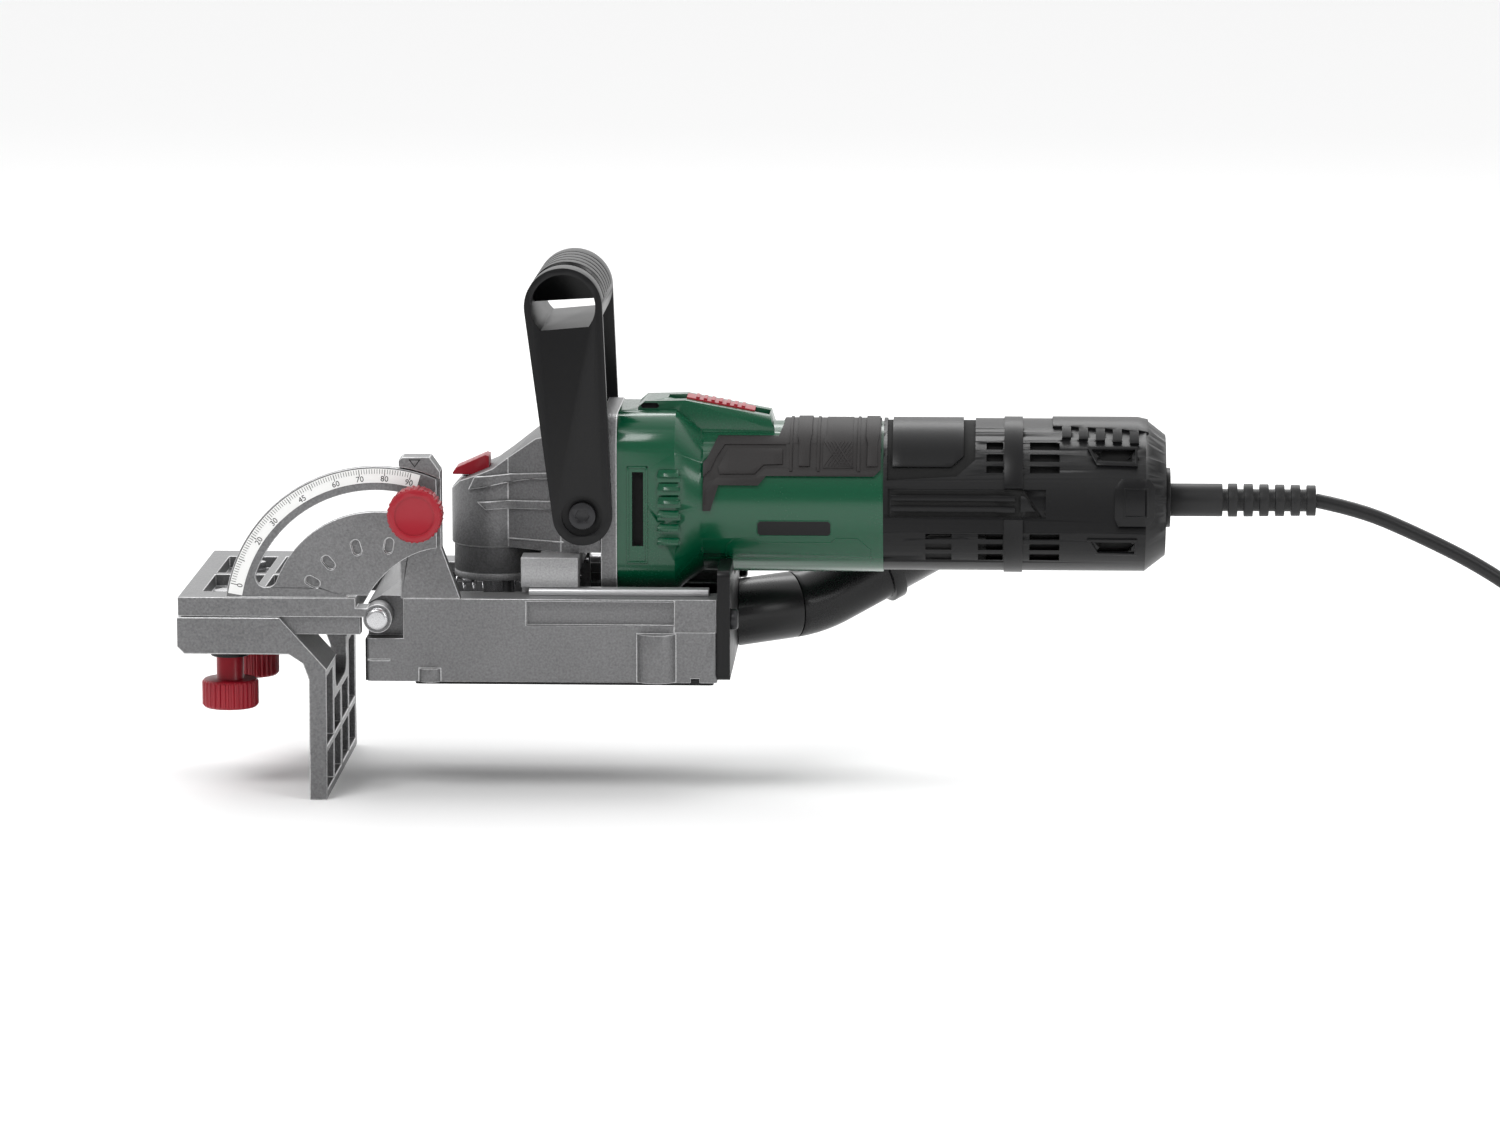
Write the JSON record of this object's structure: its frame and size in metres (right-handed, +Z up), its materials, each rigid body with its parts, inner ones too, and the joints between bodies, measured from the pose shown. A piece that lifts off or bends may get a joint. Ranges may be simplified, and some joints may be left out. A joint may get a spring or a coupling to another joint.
{
  "type": "biscuit joiner",
  "caption": "Corded biscuit joiner with a plunging motor head, a tilting and sliding fence, a loop handle, a disc cutter and a dust outlet.",
  "frame": {"origin": "under the cutter's axis at rest, on the underside of the base", "axes": "+X from the front face towards the mains lead, +Z up from the base, -Y the side with the angle scale"},
  "size_m": [0.7445, 0.1853, 0.2309],
  "materials": {
    "cast_metal": "satin",
    "light_cast": "satin",
    "machined": "polished",
    "steel": "satin",
    "black_steel": "satin",
    "lamination": "matte",
    "copper": "satin",
    "carbon": "matte",
    "black_plastic": "matte",
    "green_plastic": "satin",
    "red_plastic": "satin",
    "soft_grip": "matte",
    "black_rubber": "matte",
    "cord_sheath": "satin",
    "scale_white": "matte"
  },
  "bodies": {
    "base": {"base_housing": "cast_metal", "base_plate": "black_plastic", "base_plate_screws": "steel", "front_pad": "black_rubber", "guide_rails": "machined", "rear_plate": "black_plastic", "rear_plate_screws": "black_steel", "return_springs": "steel", "hinge_pins": "steel", "pointer_bracket": "cast_metal", "angle_stud": "steel", "angle_washer": "steel", "dust_nozzle": "black_plastic"},
    "angle_knob_body": {"angle_knob": "red_plastic"},
    "dust_outlet": {"dust_elbow": "black_plastic"},
    "fence": {"fence_frame": "cast_metal", "angle_scale": "scale_white", "height_studs": "steel", "height_washers": "black_plastic"},
    "stop": {"stop_plate": "cast_metal"},
    "knob_near": {"height_knob_near": "red_plastic"},
    "knob_far": {"height_knob_far": "red_plastic"},
    "power_head": {"gear_head": "cast_metal", "spindle_lock_spring": "steel", "bearing_flange": "light_cast", "under_head_screws": "steel", "spindle_bearings": "steel", "carriage": "light_cast", "motor_flange": "cast_metal", "gear_head_screws": "steel", "motor_housing": "green_plastic", "grip_overmold": "soft_grip", "rear_cover": "black_plastic", "switch_block": "black_plastic", "stator_core": "lamination", "field_windings": "copper", "armature_bearings": "steel", "brush_holders": "black_plastic", "carbon_brushes": "carbon", "brush_springs": "steel", "handle_bolts": "black_steel", "cord_gland": "black_plastic", "strain_relief": "black_rubber", "power_cord": "cord_sheath", "cord_coil": "cord_sheath", "cord_tie": "black_rubber", "mains_plug": "cord_sheath"},
    "lock_button": {"spindle_lock_button": "red_plastic"},
    "switch": {"switch_slider": "red_plastic"},
    "handle": {"loop_handle": "black_plastic"},
    "spindle_group": {"spindle": "steel", "crown_gear": "steel", "inner_flange": "steel", "cutter": "steel", "flange_nut": "steel"},
    "armature": {"armature_shaft": "steel", "rotor_core": "lamination", "commutator": "copper", "fan": "black_plastic", "pinion": "steel"}
  },
  "joints": [
    {"name": "plunge", "type": "slide", "parent": "base", "child": "power_head", "axis": [-1, 0, 0], "range_m": [0, 0.017], "stiffness_N_per_m": 900, "springref_m": -0.012, "deforming": ["return_springs"]},
    {"name": "fence_tilt", "type": "hinge", "parent": "base", "child": "fence", "pos_m": [-0.0478, 0, 0.0295], "axis": [0, 1, 0], "range_deg": [0, 90]},
    {"name": "fence_height", "type": "slide", "parent": "fence", "child": "stop", "axis": [1, 0, 0], "range_m": [-0.012, 0.0145]},
    {"name": "angle_knob_turn", "type": "hinge", "parent": "base", "child": "angle_knob_body", "pos_m": [-0.02951, 0, 0.07764], "axis": [0, -1, 0], "range_deg": [0, 180]},
    {"name": "near_knob_turn", "type": "hinge", "parent": "fence", "child": "knob_near", "pos_m": [-0.1152, -0.04, 0], "axis": [0, 0, -1], "range_deg": [0, 180]},
    {"name": "far_knob_turn", "type": "hinge", "parent": "fence", "child": "knob_far", "pos_m": [-0.1152, 0.04, 0], "axis": [0, 0, -1], "range_deg": [0, 180]},
    {"name": "handle_tilt", "type": "hinge", "parent": "power_head", "child": "handle", "pos_m": [0.0399, 0, 0.0714], "axis": [0, -1, 0], "range_deg": [0, 30]},
    {"name": "lock_press", "type": "slide", "parent": "power_head", "child": "lock_button", "axis": [0, 0, -1], "range_m": [0, 0.0022], "stiffness_N_per_m": 400, "springref_m": -0.002, "deforming": ["spindle_lock_spring"]},
    {"name": "switch_slide", "type": "slide", "parent": "power_head", "child": "switch", "axis": [-0.9825, 0, 0.1864], "range_m": [0, 0.006]},
    {"name": "elbow_swivel", "type": "hinge", "parent": "base", "child": "dust_outlet", "pos_m": [0.1052, 0.038, 0.0162], "axis": [-0.9041, -0.4216, -0.0698], "range_deg": [0, 60]},
    {"name": "spindle_spin", "type": "hinge", "parent": "power_head", "child": "spindle_group", "pos_m": [0, 0, 0], "axis": [0, 0, 1], "continuous": true},
    {"name": "armature_spin", "type": "hinge", "parent": "power_head", "child": "armature", "pos_m": [0, 0, 0.0749], "axis": [1, 0, 0], "continuous": true}
  ],
  "couplings": [
    {"joint": "spindle_spin", "follows": "armature_spin", "ratio": 0.27778}
  ]
}
